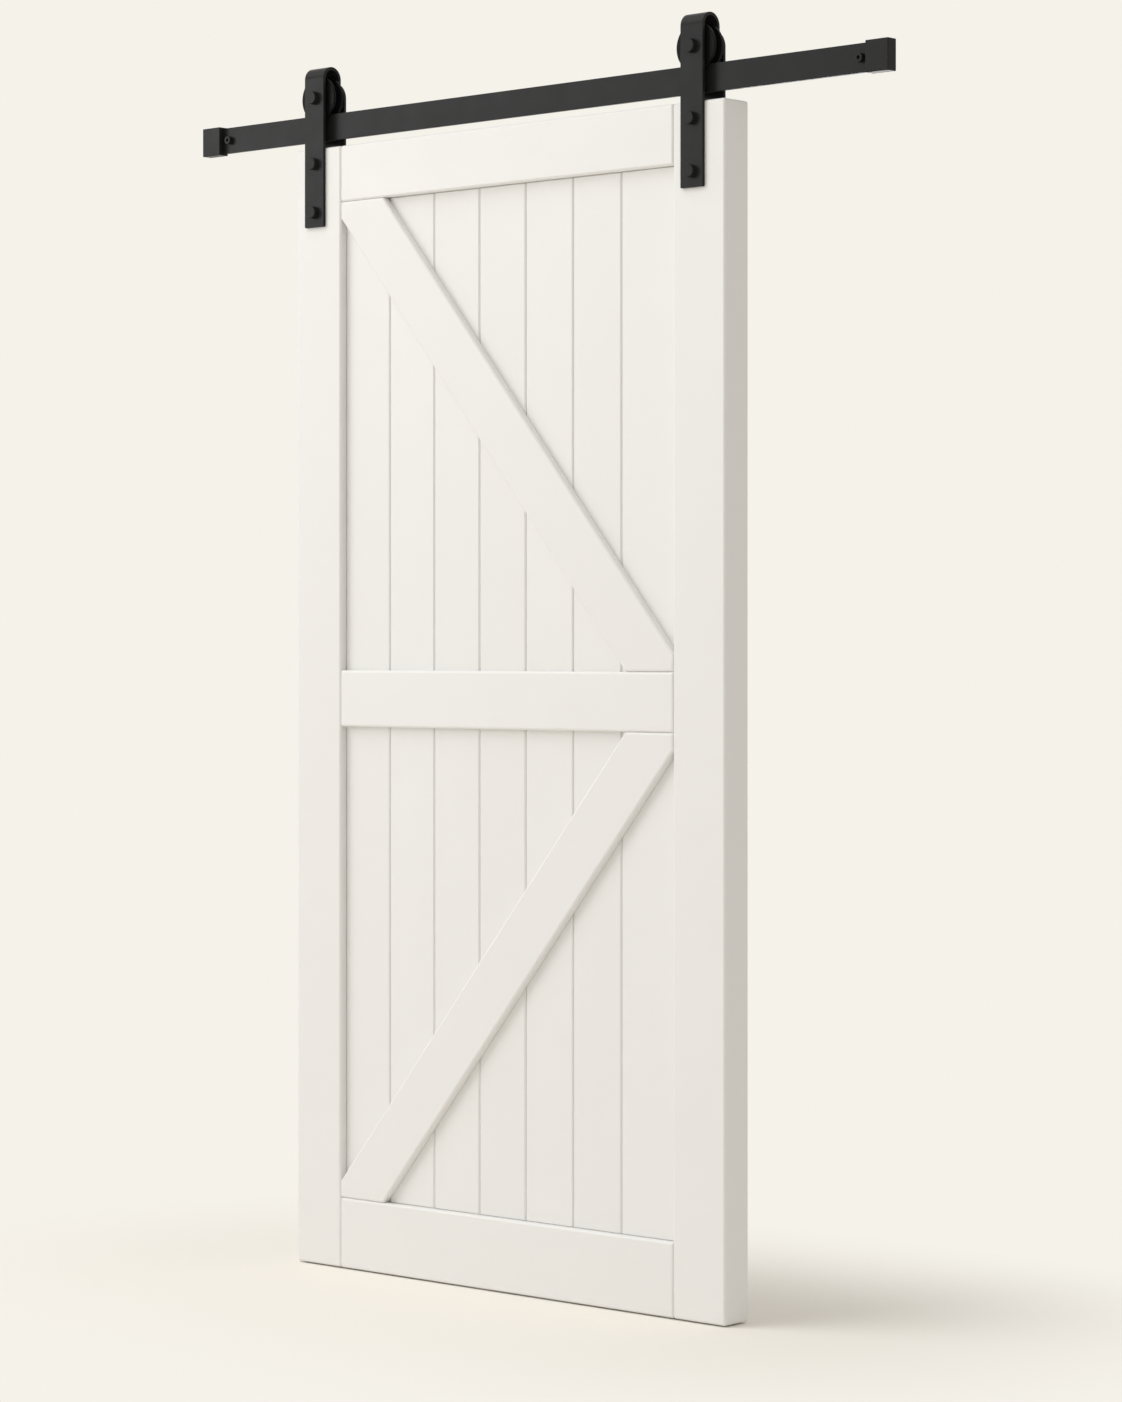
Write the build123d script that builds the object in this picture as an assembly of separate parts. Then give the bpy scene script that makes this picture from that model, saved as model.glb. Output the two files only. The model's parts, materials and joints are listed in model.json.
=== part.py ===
# Sliding barn door: a boarded, K-braced leaf on two bent-strap hangers, whose grooved wheels
# run on a flat rail that two spacers hold off a wall.
# Millimetres. X runs along the rail, +Y points into the wall and +Z is up.
# The origin is on the wall, at the middle of the left spacer's wall face.
import os

from build123d import *

# Door leaf
DOOR_WIDTH = 1067.0
DOOR_HEIGHT = 2134.0
DOOR_THICKNESS = 66.0
STILE_WIDTH = 118.0
TOP_RAIL_HEIGHT = 107.0
BOTTOM_RAIL_HEIGHT = 133.0
MIDDLE_RAIL_HEIGHT = 107.0
MIDDLE_RAIL_BASE = 1029.0
PANEL_RECESS = 16.0
BRACE_FLAT = 113.0
BRACE_DROP = 32.0
EDGE_BEVEL = 3.0

# Boards of the panel, tongued into each other and into the frame, with a small open joint all round
BOARD_PITCH = 116.0
BOARD_V = 2.5
BOARD_GAP = 0.8
TONGUE_THICKNESS = 11.0
TONGUE_LENGTH = 9.0
TONGUE_CLEARANCE = 0.4

# Hangers
STRAP_WIDTH = 51.0
STRAP_THICKNESS = 6.0
STRAP_DROP = 151.0
STRAP_EDGE_DISTANCES = {"left": 52.5, "right": 70.5}
STRAP_CORNER = 2.0
REAR_LEG_TAIL = 24.0
REAR_LEG_CORNER = 18.0
BACK_PLATE_WIDTH = 68.0
BACK_PLATE_GAP = 4.0

# Wheels
WHEEL_WIDTH = 26.0
WHEEL_SIDE_GAP = 4.5
WHEEL_TOP_GAP = 10.0
TREAD_RADIUS = 31.0
FLANGE_DEPTH = 12.5
RIM_WIDTH = 5.0
RIM_CHAMFER = 1.0
GROOVE_SIDE_GAP = 2.0
HUB_RADIUS = 14.0
HUB_END_GAP = 0.3
TREAD_GAP = 0.3
AXLE_RADIUS = 6.0
AXLE_RUNNING_GAP = 0.05

# Rail and its fixings
RAIL_LENGTH = 1680.0
RAIL_HEIGHT = 50.0
RAIL_THICKNESS = 8.0
RAIL_ABOVE_DOOR = 15.0
DOOR_OFF_CENTRE = 42.0
WALL_GAP = 14.0
STOP_GRIP = 43.5
STOP_END_WALL = 5.0
STOP_FRONT_WALL = 12.0
STOP_BACK_WALL = 3.0
STOP_TOP_WALL = 1.8
STOP_BOTTOM_WALL = 3.0
STOP_FILLET = 1.5
RAIL_BOLT_INBOARD = 17.5
SPACER_RADIUS = 12.5
SPACER_CHAMFER = 1.0

# Bolts
BOLT_HOLE_GAP = 0.2
BOLT_CHAMFER = 1.5
AXLE_HEAD_RADIUS = 12.5
AXLE_HEAD_HEIGHT = 10.0
AXLE_NUT_WIDTH = 19.0
AXLE_NUT_HEIGHT = 10.0
STRAP_BOLT_DROPS = {"upper": 30.0, "lower": 123.0}
STRAP_BOLT_RADIUS = 5.0
STRAP_BOLT_DEPTH = 45.0
STRAP_HEAD_RADIUS = 11.5
STRAP_HEAD_HEIGHT = 10.0
RAIL_BOLT_RADIUS = 4.0
RAIL_BOLT_DEPTH = 24.0
RAIL_HEAD_RADIUS = 8.0
RAIL_HEAD_HEIGHT = 8.0
RAIL_SOCKET_WIDTH = 6.5
RAIL_SOCKET_DEPTH = 4.0
WALL_STUD_RADIUS = 5.0
WALL_STUD_DEPTH = 25.0
DRILL_TIP_GAP = 0.5

# The slide stops this far short of the first contact
TRAVEL_GAP = 5.0

SIDES = {"left": -1, "right": 1}

# Places along the rail: the left spacer is at X = 0
SPACER_SPACING = RAIL_LENGTH - 2 * (STOP_GRIP + RAIL_BOLT_INBOARD)
SPACER_X = {"left": 0.0, "right": SPACER_SPACING}
RAIL_X = SPACER_SPACING / 2
RAIL_END_X = {side: RAIL_X + sign * RAIL_LENGTH / 2 for side, sign in SIDES.items()}
DOOR_X = RAIL_X - DOOR_OFF_CENTRE
DOOR_LEFT = DOOR_X - DOOR_WIDTH / 2
DOOR_RIGHT = DOOR_X + DOOR_WIDTH / 2
OPENING_LEFT = DOOR_LEFT + STILE_WIDTH
OPENING_RIGHT = DOOR_RIGHT - STILE_WIDTH
HANGER_X = {
    "left": DOOR_LEFT + STRAP_EDGE_DISTANCES["left"],
    "right": DOOR_RIGHT - STRAP_EDGE_DISTANCES["right"],
}

# Places from front to wall
DOOR_BACK = -WALL_GAP
DOOR_FRONT = DOOR_BACK - DOOR_THICKNESS
PANEL_FRONT = DOOR_FRONT + PANEL_RECESS
PANEL_BACK = DOOR_BACK - PANEL_RECESS
PANEL_Y = (PANEL_FRONT + PANEL_BACK) / 2
LOOP_GAP = WHEEL_WIDTH + 2 * WHEEL_SIDE_GAP
STRAP_FRONT = DOOR_FRONT - STRAP_THICKNESS
RAIL_Y = DOOR_FRONT + LOOP_GAP / 2
RAIL_FRONT = RAIL_Y - RAIL_THICKNESS / 2
RAIL_BACK = RAIL_Y + RAIL_THICKNESS / 2
REAR_LEG_FRONT = DOOR_FRONT + LOOP_GAP
REAR_LEG_BACK = REAR_LEG_FRONT + STRAP_THICKNESS
BACK_PLATE_BACK = REAR_LEG_BACK + STRAP_THICKNESS

# Heights: the rail's middle is at Z = 0
RAIL_TOP = RAIL_HEIGHT / 2
DOOR_TOP = -RAIL_HEIGHT / 2 - RAIL_ABOVE_DOOR
DOOR_BOTTOM = DOOR_TOP - DOOR_HEIGHT
TOP_RAIL_BASE = DOOR_TOP - TOP_RAIL_HEIGHT
BOTTOM_RAIL_TOP = DOOR_BOTTOM + BOTTOM_RAIL_HEIGHT
MIDDLE_LOW = DOOR_BOTTOM + MIDDLE_RAIL_BASE
MIDDLE_HIGH = MIDDLE_LOW + MIDDLE_RAIL_HEIGHT
AXLE_Z = RAIL_TOP + TREAD_GAP + TREAD_RADIUS
FLANGE_RADIUS = TREAD_RADIUS + FLANGE_DEPTH
ARCH_Z = AXLE_Z + FLANGE_RADIUS + WHEEL_TOP_GAP - LOOP_GAP / 2
STRAP_BOTTOM = DOOR_TOP - STRAP_DROP

PARTS = {}


def block(x0, x1, y0, y1, z0, z1):
    """A box between two corners."""
    return Pos((x0 + x1) / 2, (y0 + y1) / 2, (z0 + z1) / 2) * Box(x1 - x0, y1 - y0, z1 - z0)


def peg(x, z, y0, y1, radius):
    """A cylinder along Y."""
    return Pos(x, (y0 + y1) / 2, z) * Rot(90, 0, 0) * Cylinder(radius, y1 - y0)


def bevelled(piece):
    """A timber with every edge eased."""
    return chamfer(piece.edges(), EDGE_BEVEL)


def eased_face(piece, outward):
    """A timber with only the edges of its outer face eased; outward is -1 to the front, 1 to the wall."""
    outer = piece.faces().sort_by(Axis.Y)[0 if outward < 0 else -1]
    return chamfer(outer.edges(), EDGE_BEVEL)


# Frame: two full-height stiles with the top and bottom rails between them
def frame_groove(x0, x1, z0, z1):
    half = TONGUE_THICKNESS / 2 + TONGUE_CLEARANCE
    return block(x0, x1, PANEL_Y - half, PANEL_Y + half, z0, z1)


GROOVE_DEPTH = TONGUE_LENGTH + TONGUE_CLEARANCE


def stile(side):
    if side == "left":
        timber = block(DOOR_LEFT, OPENING_LEFT, DOOR_FRONT, DOOR_BACK, DOOR_BOTTOM, DOOR_TOP)
        groove = frame_groove(OPENING_LEFT - GROOVE_DEPTH, OPENING_LEFT, BOTTOM_RAIL_TOP, TOP_RAIL_BASE)
    else:
        timber = block(OPENING_RIGHT, DOOR_RIGHT, DOOR_FRONT, DOOR_BACK, DOOR_BOTTOM, DOOR_TOP)
        groove = frame_groove(OPENING_RIGHT, OPENING_RIGHT + GROOVE_DEPTH, BOTTOM_RAIL_TOP, TOP_RAIL_BASE)
    timber = bevelled(timber) - groove
    hole_end = DOOR_FRONT + STRAP_BOLT_DEPTH + DRILL_TIP_GAP
    for drop in STRAP_BOLT_DROPS.values():
        hole_radius = STRAP_BOLT_RADIUS + BOLT_HOLE_GAP
        timber -= peg(HANGER_X[side], DOOR_TOP - drop, DOOR_FRONT, hole_end, hole_radius)
    return timber


for side in SIDES:
    PARTS[f"{side}_stile"] = stile(side)

top_rail = bevelled(block(OPENING_LEFT, OPENING_RIGHT, DOOR_FRONT, DOOR_BACK, TOP_RAIL_BASE, DOOR_TOP))
PARTS["top_rail"] = top_rail - frame_groove(
    OPENING_LEFT, OPENING_RIGHT, TOP_RAIL_BASE, TOP_RAIL_BASE + GROOVE_DEPTH
)
bottom_rail = bevelled(
    block(OPENING_LEFT, OPENING_RIGHT, DOOR_FRONT, DOOR_BACK, DOOR_BOTTOM, BOTTOM_RAIL_TOP)
)
PARTS["bottom_rail"] = bottom_rail - frame_groove(
    OPENING_LEFT, OPENING_RIGHT, BOTTOM_RAIL_TOP - GROOVE_DEPTH, BOTTOM_RAIL_TOP
)


# Panel: full-height boards with a V where they meet; the last one is cut to close the width
def board(left, right, first, last):
    low, high = BOTTOM_RAIL_TOP + BOARD_GAP, TOP_RAIL_BASE - BOARD_GAP
    piece = block(left, right, PANEL_FRONT, PANEL_BACK, low, high)
    uprights = piece.edges().filter_by(Axis.Z).group_by(Axis.X)
    v_edges = ([] if first else list(uprights[0])) + ([] if last else list(uprights[-1]))
    if v_edges:
        piece = chamfer(v_edges, BOARD_V)
    half = TONGUE_THICKNESS / 2
    tongue_y = (PANEL_Y - half, PANEL_Y + half)
    reach = BOARD_GAP + TONGUE_LENGTH
    end_left = left if first else left + GROOVE_DEPTH
    piece += block(end_left, right, *tongue_y, low - reach, high + reach)
    piece += block(right, right + reach, *tongue_y, low, high)
    if first:
        piece += block(left - reach, left, *tongue_y, low, high)
    else:
        piece -= frame_groove(left, left + GROOVE_DEPTH, low, high)
    return piece


board_count = int((OPENING_RIGHT - OPENING_LEFT) // BOARD_PITCH)
for index in range(board_count):
    first = index == 0
    last = index == board_count - 1
    cell = OPENING_LEFT + index * BOARD_PITCH
    right = OPENING_RIGHT - BOARD_GAP if last else cell + BOARD_PITCH
    PARTS[f"board_{index + 1}"] = board(cell + BOARD_GAP, right, first, last)


# Middle rails and braces lie on both faces of the panel, flush with the frame
def brace(x_from, x_to, z_low, z_high, y0, y1):
    """A brace from the upper corner at x_from to the lower corner at x_to, cut square into both."""
    run = 1 if x_to > x_from else -1
    outline = [
        (x_from, z_high),
        (x_from + run * BRACE_FLAT, z_high),
        (x_to, z_low + BRACE_DROP),
        (x_to, z_low),
        (x_to - run * BRACE_FLAT, z_low),
        (x_from, z_high - BRACE_DROP),
    ]
    edges = Polyline(*outline, close=True)
    face = Plane.XZ * make_face(edges)
    return Pos(0, y1, 0) * extrude(face, y1 - y0)


LAYERS = {"front": (-1, DOOR_FRONT, PANEL_FRONT), "back": (1, PANEL_BACK, DOOR_BACK)}
for layer, (outward, y0, y1) in LAYERS.items():
    middle = block(OPENING_LEFT, OPENING_RIGHT, y0, y1, MIDDLE_LOW, MIDDLE_HIGH)
    upper = brace(OPENING_LEFT, OPENING_RIGHT, MIDDLE_HIGH, TOP_RAIL_BASE, y0, y1)
    lower = brace(OPENING_RIGHT, OPENING_LEFT, BOTTOM_RAIL_TOP, MIDDLE_LOW, y0, y1)
    PARTS[f"middle_rail_{layer}"] = eased_face(middle, outward)
    PARTS[f"upper_brace_{layer}"] = eased_face(upper, outward)
    PARTS[f"lower_brace_{layer}"] = eased_face(lower, outward)


# Hangers: a flat strap bent over the wheel, with a plate behind its short rear leg
def hanger_strap(x):
    outer = LOOP_GAP / 2 + STRAP_THICKNESS
    inner = LOOP_GAP / 2
    tail = AXLE_Z - REAR_LEG_TAIL
    outline = [
        Line((STRAP_FRONT, STRAP_BOTTOM), (STRAP_FRONT, ARCH_Z)),
        ThreePointArc((STRAP_FRONT, ARCH_Z), (RAIL_Y, ARCH_Z + outer), (REAR_LEG_BACK, ARCH_Z)),
        Polyline((REAR_LEG_BACK, ARCH_Z), (REAR_LEG_BACK, tail), (REAR_LEG_FRONT, tail)),
        Line((REAR_LEG_FRONT, tail), (REAR_LEG_FRONT, ARCH_Z)),
        ThreePointArc((REAR_LEG_FRONT, ARCH_Z), (RAIL_Y, ARCH_Z + inner), (DOOR_FRONT, ARCH_Z)),
        Polyline((DOOR_FRONT, ARCH_Z), (DOOR_FRONT, STRAP_BOTTOM), (STRAP_FRONT, STRAP_BOTTOM)),
    ]
    face = Plane.YZ * make_face([edge for line in outline for edge in line.edges()])
    strap = Pos(x - STRAP_WIDTH / 2, 0, 0) * extrude(face, STRAP_WIDTH)
    ends = strap.edges().filter_by(Axis.Y).group_by(Axis.Z)
    strap = fillet(ends[0], STRAP_CORNER)
    low, high = tail - STRAP_CORNER, tail + STRAP_CORNER
    ends = strap.edges().filter_by(Axis.Y).filter_by_position(Axis.Z, low, high)
    strap = fillet(ends, REAR_LEG_CORNER)
    strap -= peg(x, AXLE_Z, STRAP_FRONT, REAR_LEG_BACK, AXLE_RADIUS + BOLT_HOLE_GAP)
    for drop in STRAP_BOLT_DROPS.values():
        hole_radius = STRAP_BOLT_RADIUS + BOLT_HOLE_GAP
        strap -= peg(x, DOOR_TOP - drop, STRAP_FRONT, DOOR_FRONT, hole_radius)
    return strap


def back_plate(x):
    half = BACK_PLATE_WIDTH / 2
    plate = block(x - half, x + half, REAR_LEG_BACK, BACK_PLATE_BACK, DOOR_TOP + BACK_PLATE_GAP, AXLE_Z)
    plate += peg(x, AXLE_Z, REAR_LEG_BACK, BACK_PLATE_BACK, half)
    return plate - peg(x, AXLE_Z, REAR_LEG_BACK, BACK_PLATE_BACK, AXLE_RADIUS + BOLT_HOLE_GAP)


def wheel(x):
    """A grooved wheel: a flat tread between two sloping flanges, with a hub that fills the loop."""
    hub = LOOP_GAP / 2 - HUB_END_GAP
    side = WHEEL_WIDTH / 2
    tread = RAIL_THICKNESS / 2 + GROOVE_SIDE_GAP
    bore = AXLE_RADIUS + AXLE_RUNNING_GAP
    half_outline = [
        (TREAD_RADIUS, tread),
        (FLANGE_RADIUS, side - RIM_CHAMFER - RIM_WIDTH),
        (FLANGE_RADIUS, side - RIM_CHAMFER),
        (FLANGE_RADIUS - RIM_CHAMFER, side),
        (HUB_RADIUS, side),
        (HUB_RADIUS, hub),
        (bore, hub),
    ]
    mirrored = [(r, -y) for r, y in reversed(half_outline)]
    face = make_face(Polyline(*mirrored, *half_outline, close=True))
    return Pos(x, RAIL_Y, AXLE_Z) * revolve(face, Axis.Y)


def headed_bolt(x, z, seat, end, radius, head_radius, head_height):
    """A round-headed bolt along Y, with its head in front of its seat."""
    head = peg(x, z, seat - head_height, seat, head_radius)
    head = chamfer(head.edges().group_by(Axis.Y)[0], BOLT_CHAMFER)
    return head + peg(x, z, seat, end, radius)


def axle_bolt(x):
    nut_end = BACK_PLATE_BACK + AXLE_NUT_HEIGHT
    bolt = headed_bolt(x, AXLE_Z, STRAP_FRONT, nut_end, AXLE_RADIUS, AXLE_HEAD_RADIUS, AXLE_HEAD_HEIGHT)
    across = Plane.XZ * RegularPolygon(AXLE_NUT_WIDTH / 2, 6, major_radius=False)
    return bolt + Pos(x, nut_end, AXLE_Z) * extrude(across, AXLE_NUT_HEIGHT)


for side, x in HANGER_X.items():
    PARTS[f"{side}_hanger_strap"] = hanger_strap(x)
    PARTS[f"{side}_back_plate"] = back_plate(x)
    PARTS[f"{side}_wheel"] = wheel(x)
    PARTS[f"{side}_axle_bolt"] = axle_bolt(x)
    for place, drop in STRAP_BOLT_DROPS.items():
        PARTS[f"{side}_{place}_strap_bolt"] = headed_bolt(
            x,
            DOOR_TOP - drop,
            STRAP_FRONT,
            DOOR_FRONT + STRAP_BOLT_DEPTH,
            STRAP_BOLT_RADIUS,
            STRAP_HEAD_RADIUS,
            STRAP_HEAD_HEIGHT,
        )


# Rail with its end stops, spacers and bolts
rail = block(RAIL_END_X["left"], RAIL_END_X["right"], RAIL_FRONT, RAIL_BACK, -RAIL_TOP, RAIL_TOP)
for x in SPACER_X.values():
    rail -= peg(x, 0, RAIL_FRONT, RAIL_BACK, RAIL_BOLT_RADIUS + BOLT_HOLE_GAP)
PARTS["track_rail"] = rail


def end_stop(side):
    """A cap over the rail's end, which the wheels can't roll past."""
    sign = SIDES[side]
    end = RAIL_END_X[side]
    x0, x1 = sorted((end - sign * STOP_GRIP, end + sign * STOP_END_WALL))
    y0, y1 = RAIL_FRONT - STOP_FRONT_WALL, RAIL_BACK + STOP_BACK_WALL
    cap = block(x0, x1, y0, y1, -RAIL_TOP - STOP_BOTTOM_WALL, RAIL_TOP + STOP_TOP_WALL)
    cap = fillet(cap.edges(), STOP_FILLET)
    p0, p1 = sorted((end - sign * STOP_GRIP, end))
    return cap - block(p0, p1, RAIL_FRONT, RAIL_BACK, -RAIL_TOP, RAIL_TOP)


def wall_spacer(x):
    """A round spacer, drilled for the rail bolt in front and for a wall stud behind."""
    spacer = peg(x, 0, RAIL_BACK, 0, SPACER_RADIUS)
    spacer = chamfer(spacer.edges().filter_by(GeomType.CIRCLE), SPACER_CHAMFER)
    bolt_end = RAIL_FRONT + RAIL_BOLT_DEPTH + DRILL_TIP_GAP
    spacer -= peg(x, 0, RAIL_BACK, bolt_end, RAIL_BOLT_RADIUS + BOLT_HOLE_GAP)
    return spacer - peg(x, 0, -WALL_STUD_DEPTH, 0, WALL_STUD_RADIUS)


def rail_bolt(x):
    """A socket-headed bolt through the rail into its spacer."""
    bolt = headed_bolt(
        x, 0, RAIL_FRONT, RAIL_FRONT + RAIL_BOLT_DEPTH, RAIL_BOLT_RADIUS, RAIL_HEAD_RADIUS, RAIL_HEAD_HEIGHT
    )
    across = Plane.XZ * RegularPolygon(RAIL_SOCKET_WIDTH / 2, 6, major_radius=False)
    socket_floor = RAIL_FRONT - RAIL_HEAD_HEIGHT + RAIL_SOCKET_DEPTH
    return bolt - Pos(x, socket_floor, 0) * extrude(across, RAIL_SOCKET_DEPTH)


for side, x in SPACER_X.items():
    PARTS[f"{side}_end_stop"] = end_stop(side)
    PARTS[f"{side}_wall_spacer"] = wall_spacer(x)
    PARTS[f"{side}_rail_bolt"] = rail_bolt(x)

# The slide ends where a back plate comes near its spacer
reach = BACK_PLATE_WIDTH / 2 + SPACER_RADIUS + TRAVEL_GAP
slide_left = SPACER_X["left"] + reach - HANGER_X["left"]
slide_right = SPACER_X["right"] - reach - HANGER_X["right"]
print(f"slide from {slide_left:.1f} to {slide_right:.1f} mm")
print(f"wheel turns {1000 / TREAD_RADIUS:.4f} radians for each metre of slide")
for side, x in HANGER_X.items():
    print(f"{side} axle at X {x:.2f}, Y {RAIL_Y:.2f}, Z {AXLE_Z:.2f} mm")
print(f"spacers {SPACER_SPACING:.2f} mm apart, door bottom at Z {DOOR_BOTTOM:.2f} mm")

os.makedirs("parts", exist_ok=True)
for name, piece in PARTS.items():
    export_step(piece, f"parts/{name}.step")
print(f"{len(PARTS)} parts written")
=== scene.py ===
# %% [markdown]
# A sliding barn door hangs from a flat black rail by two bent-strap hangers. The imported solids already
# hold its real sizes, so this lesson loads them as a fixed frame and only dresses them: rounded
# arrises, turned bolts and wheels, paint and powder coat. Everything is in metres, in one shared frame.

# %% Load the frame
import json
import math

import bmesh
import bpy
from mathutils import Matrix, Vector

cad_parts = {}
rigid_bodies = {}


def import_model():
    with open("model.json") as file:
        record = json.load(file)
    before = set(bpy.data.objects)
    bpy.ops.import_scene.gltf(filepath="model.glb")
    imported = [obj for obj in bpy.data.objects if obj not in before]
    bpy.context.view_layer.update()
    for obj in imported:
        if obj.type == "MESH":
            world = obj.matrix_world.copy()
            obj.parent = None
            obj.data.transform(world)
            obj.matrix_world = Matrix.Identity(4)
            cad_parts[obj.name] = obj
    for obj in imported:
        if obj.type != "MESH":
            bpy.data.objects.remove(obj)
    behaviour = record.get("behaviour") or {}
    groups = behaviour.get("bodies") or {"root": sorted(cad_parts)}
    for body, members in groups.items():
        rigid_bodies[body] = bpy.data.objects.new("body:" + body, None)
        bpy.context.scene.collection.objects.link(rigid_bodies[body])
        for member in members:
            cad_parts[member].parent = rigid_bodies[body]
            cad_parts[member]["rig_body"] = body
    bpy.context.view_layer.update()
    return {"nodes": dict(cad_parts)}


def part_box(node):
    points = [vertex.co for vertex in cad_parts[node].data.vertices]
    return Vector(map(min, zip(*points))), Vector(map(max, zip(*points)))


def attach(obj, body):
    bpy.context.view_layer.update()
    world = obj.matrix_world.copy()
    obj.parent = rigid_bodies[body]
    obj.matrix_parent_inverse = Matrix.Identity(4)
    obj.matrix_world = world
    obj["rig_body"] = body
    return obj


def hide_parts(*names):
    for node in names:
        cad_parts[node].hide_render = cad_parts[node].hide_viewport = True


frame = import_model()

nodes = frame["nodes"]
scene = bpy.context.scene
scene.view_settings.view_transform = "Standard"
MM = 0.001
print(len(nodes), "solids loaded")

# %% [markdown]
# The camera comes first, because every later choice is judged through it. A level camera keeps the
# door's upright edges upright, so the view is moved down with a small lens shift instead of a tilt.
# The sensor spans the picture's longer side, its height. The camera's place is measured from the
# middle of the door's front bottom edge.

# %% Camera
PICTURE_HEIGHT_PIXELS = 1402
SENSOR_MM = 36.0
VIEW_REACH = 200.0
LENS_PIXELS = 3808.0
HORIZON_ABOVE_MIDDLE_PIXELS = 51.7
CAMERA_TURN = math.radians(42.12)
CAMERA_FROM_DOOR = Vector((4.7557, -5.0931, 1.1757))

leaf_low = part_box("left_stile")[0]
leaf_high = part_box("right_stile")[1]
door_middle = Vector(((leaf_low.x + leaf_high.x) / 2, leaf_low.y, leaf_low.z))

camera = bpy.data.objects.new("camera", bpy.data.cameras.new("camera"))
scene.collection.objects.link(camera)
camera.data.sensor_width = SENSOR_MM
camera.data.lens = LENS_PIXELS / PICTURE_HEIGHT_PIXELS * SENSOR_MM
camera.data.shift_y = -HORIZON_ABOVE_MIDDLE_PIXELS / PICTURE_HEIGHT_PIXELS
camera.data.clip_end = VIEW_REACH
camera.location = door_middle + CAMERA_FROM_DOOR
camera.rotation_euler = (math.radians(90), 0, CAMERA_TURN)
scene.camera = camera
print("lens", round(camera.data.lens, 2), "mm, camera at", tuple(round(v, 3) for v in camera.location))

# %% [markdown]
# Shader groups and Geometry Nodes trees are both built from nodes, so a few small helpers serve them
# all. They add a node and set its properties, fill a socket with a number or a link, map one range to
# another, start a group with its named sockets, and start a material with its shader.


# %% Node helpers
def add_node(tree, kind, **values):
    """Adds a node; values are its properties."""
    node = tree.nodes.new(kind)
    for name, value in values.items():
        setattr(node, name, value)
    return node


def plug(tree, value, socket):
    """Sets a plain number on a socket, or links another socket to it."""
    if isinstance(value, (int, float)):
        socket.default_value = value
    else:
        tree.links.new(value, socket)


def map_range(tree, value, source_range, target_range=(0.0, 1.0), **properties):
    """Maps a value from one range to another."""
    node = add_node(tree, "ShaderNodeMapRange", **properties)
    node.inputs["From Min"].default_value, node.inputs["From Max"].default_value = source_range
    node.inputs["To Min"].default_value, node.inputs["To Max"].default_value = target_range
    tree.links.new(value, node.inputs["Value"])
    return node.outputs["Result"]


def new_group(name, kind, inputs, outputs):
    """An empty node group with its sockets, and its input and output nodes."""
    group = bpy.data.node_groups.new(name, kind)
    for socket_name, socket_kind, default in inputs:
        socket = group.interface.new_socket(socket_name, in_out="INPUT", socket_type=socket_kind)
        if default is not None:
            socket.default_value = default
    for socket_name, socket_kind in outputs:
        group.interface.new_socket(socket_name, in_out="OUTPUT", socket_type=socket_kind)
    return group, add_node(group, "NodeGroupInput"), add_node(group, "NodeGroupOutput")


def new_material(name):
    """A material with its Principled shader."""
    material = bpy.data.materials.new(name)
    material.use_nodes = True
    return material, material.node_tree, material.node_tree.nodes["Principled BSDF"]


print("helpers ready")

# %% [markdown]
# Sprayed paint on timber is nearly flat, but not quite. Wood grain shows through it as long, shallow
# ridges, the film pools a little so its gloss wanders, and its tone drifts slightly along a board.
# The group gives those three as a tint, a roughness and a height. Its vector is turned beforehand so
# that Z runs along the grain, which lets stiles, rails and braces share it.


# %% Paint over grain
GRAIN_SCALE = 260.0
GRAIN_STRETCH = 0.02
GRAIN_DETAIL = 4.0
GRAIN_DISTORTION = 0.4
FILM_SCALE = 9.0
FILM_DETAIL = 3.0
FILM_RANGE = (0.3, 0.7)
DRIFT_RANGE = (0.4, 1.6)
PAINT_ROUGHNESS = (0.42, 0.52)
PIECE_SHIFT = (3.1, 1.7, 5.3)


def paint_film_group():
    group, source, result = new_group(
        "paint film over grain",
        "ShaderNodeTree",
        [("Along Grain", "NodeSocketVector", None), ("Piece Tone", "NodeSocketFloat", 0.5)],
        [("Tint", "NodeSocketFloat"), ("Roughness", "NodeSocketFloat"), ("Height", "NodeSocketFloat")],
    )
    link = group.links.new

    shift = add_node(group, "ShaderNodeVectorMath", operation="SCALE")
    shift.inputs[0].default_value = PIECE_SHIFT
    link(source.outputs["Piece Tone"], shift.inputs["Scale"])
    moved = add_node(group, "ShaderNodeVectorMath", operation="ADD")
    link(source.outputs["Along Grain"], moved.inputs[0])
    link(shift.outputs[0], moved.inputs[1])
    stretch = add_node(group, "ShaderNodeVectorMath", operation="MULTIPLY")
    stretch.inputs[1].default_value = (1.0, 1.0, GRAIN_STRETCH)
    link(moved.outputs[0], stretch.inputs[0])

    grain = add_node(group, "ShaderNodeTexNoise")
    grain.inputs["Scale"].default_value = GRAIN_SCALE
    grain.inputs["Detail"].default_value = GRAIN_DETAIL
    grain.inputs["Distortion"].default_value = GRAIN_DISTORTION
    link(stretch.outputs[0], grain.inputs["Vector"])

    film = add_node(group, "ShaderNodeTexNoise")
    film.inputs["Scale"].default_value = FILM_SCALE
    film.inputs["Detail"].default_value = FILM_DETAIL
    link(moved.outputs[0], film.inputs["Vector"])

    drift = add_node(group, "ShaderNodeMath", operation="ADD")
    link(film.outputs["Fac"], drift.inputs[0])
    link(source.outputs["Piece Tone"], drift.inputs[1])

    gloss = map_range(group, film.outputs["Fac"], FILM_RANGE, PAINT_ROUGHNESS)
    link(map_range(group, drift.outputs[0], DRIFT_RANGE), result.inputs["Tint"])
    link(gloss, result.inputs["Roughness"])
    link(grain.outputs["Fac"], result.inputs["Height"])
    return group


paint_film = paint_film_group()
print("group:", paint_film.name)

# %% [markdown]
# Each way that the timber lies gets its own paint, which differs only in how its pattern is turned.
# The turn is about Y, because the door's face lies in X and Z. A number kept on each piece tells its
# pattern apart from its neighbours', so that grain never runs on from one board into the next.

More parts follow.
